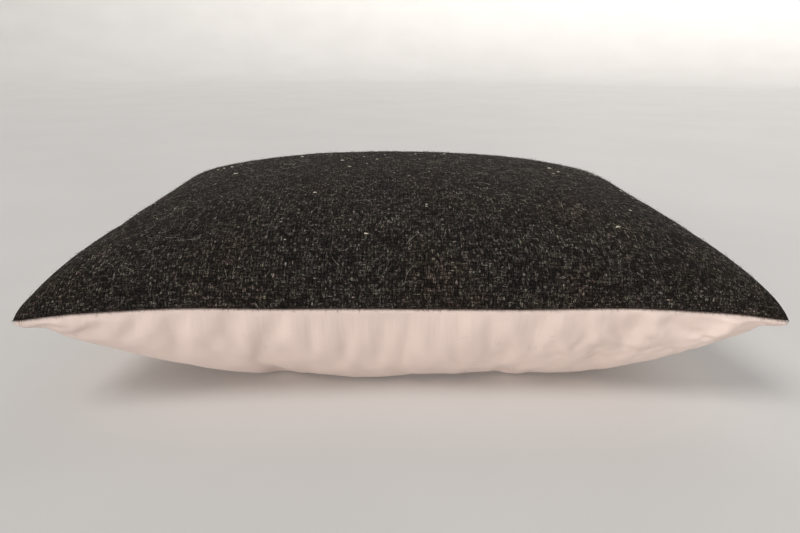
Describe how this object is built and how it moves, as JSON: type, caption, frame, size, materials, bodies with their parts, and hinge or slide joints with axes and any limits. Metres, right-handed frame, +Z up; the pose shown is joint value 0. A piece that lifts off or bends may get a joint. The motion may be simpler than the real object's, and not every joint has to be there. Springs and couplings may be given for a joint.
{
  "type": "lumbar support cushion",
  "caption": "Oblong stuffed lumbar cushion with a woven front panel, a cotton back panel, a rear seam zip with a sliding pull, and a loose fibre insert.",
  "frame": {"origin": "middle of the cushion's footprint, on the surface that it lies on", "axes": "+X along the long side, +Y towards the side with the zip, +Z up from the cotton back panel to the woven front panel"},
  "size_m": [0.57, 0.38, 0.1621],
  "materials": {
    "front_cloth": "coarse hand-woven dark charcoal wool and hemp, matte",
    "back_cloth": "plain pale pinkish cream cotton, matte",
    "dark_thread": "dark polyester sewing thread",
    "pale_thread": "pale cream polyester sewing thread",
    "zip_tape": "dark woven polyester tape",
    "zip_coil": "dark nylon coil",
    "zip_metal": "gunmetal zinc casting",
    "casing_cloth": "white downproof cotton",
    "fibre": "loose white polyester fibre"
  },
  "bodies": {
    "cushion": {"cover_front_panel": "front_cloth", "cover_back_panel": "back_cloth", "seam_needle_thread": "dark_thread", "seam_bobbin_thread": "pale_thread", "overlock_thread": "pale_thread", "zip_tape_upper": "zip_tape", "zip_tape_lower": "zip_tape", "zip_coil_upper": "zip_coil", "zip_coil_lower": "zip_coil", "zip_top_stop_upper": "zip_metal", "zip_top_stop_lower": "zip_metal", "zip_bottom_stop": "zip_metal", "zip_topstitch": "dark_thread", "bar_tack_left": "dark_thread", "bar_tack_right": "dark_thread", "insert_casing_top": "casing_cloth", "insert_casing_bottom": "casing_cloth", "insert_closing_thread": "pale_thread", "insert_fill": "fibre"},
    "slider": {"zip_slider": "zip_metal"},
    "pull": {"zip_pull_tab": "zip_metal"}
  },
  "joints": [
    {"name": "zip_slide", "type": "slide", "parent": "cushion", "child": "slider", "axis": [-1, 0, 0], "range_m": [0, 0.4154]},
    {"name": "pull_swing", "type": "hinge", "parent": "slider", "child": "pull", "pos_m": [0.2077, 0.18415, 0.08], "axis": [0, 0, -1], "range_deg": [0, 180]}
  ]
}
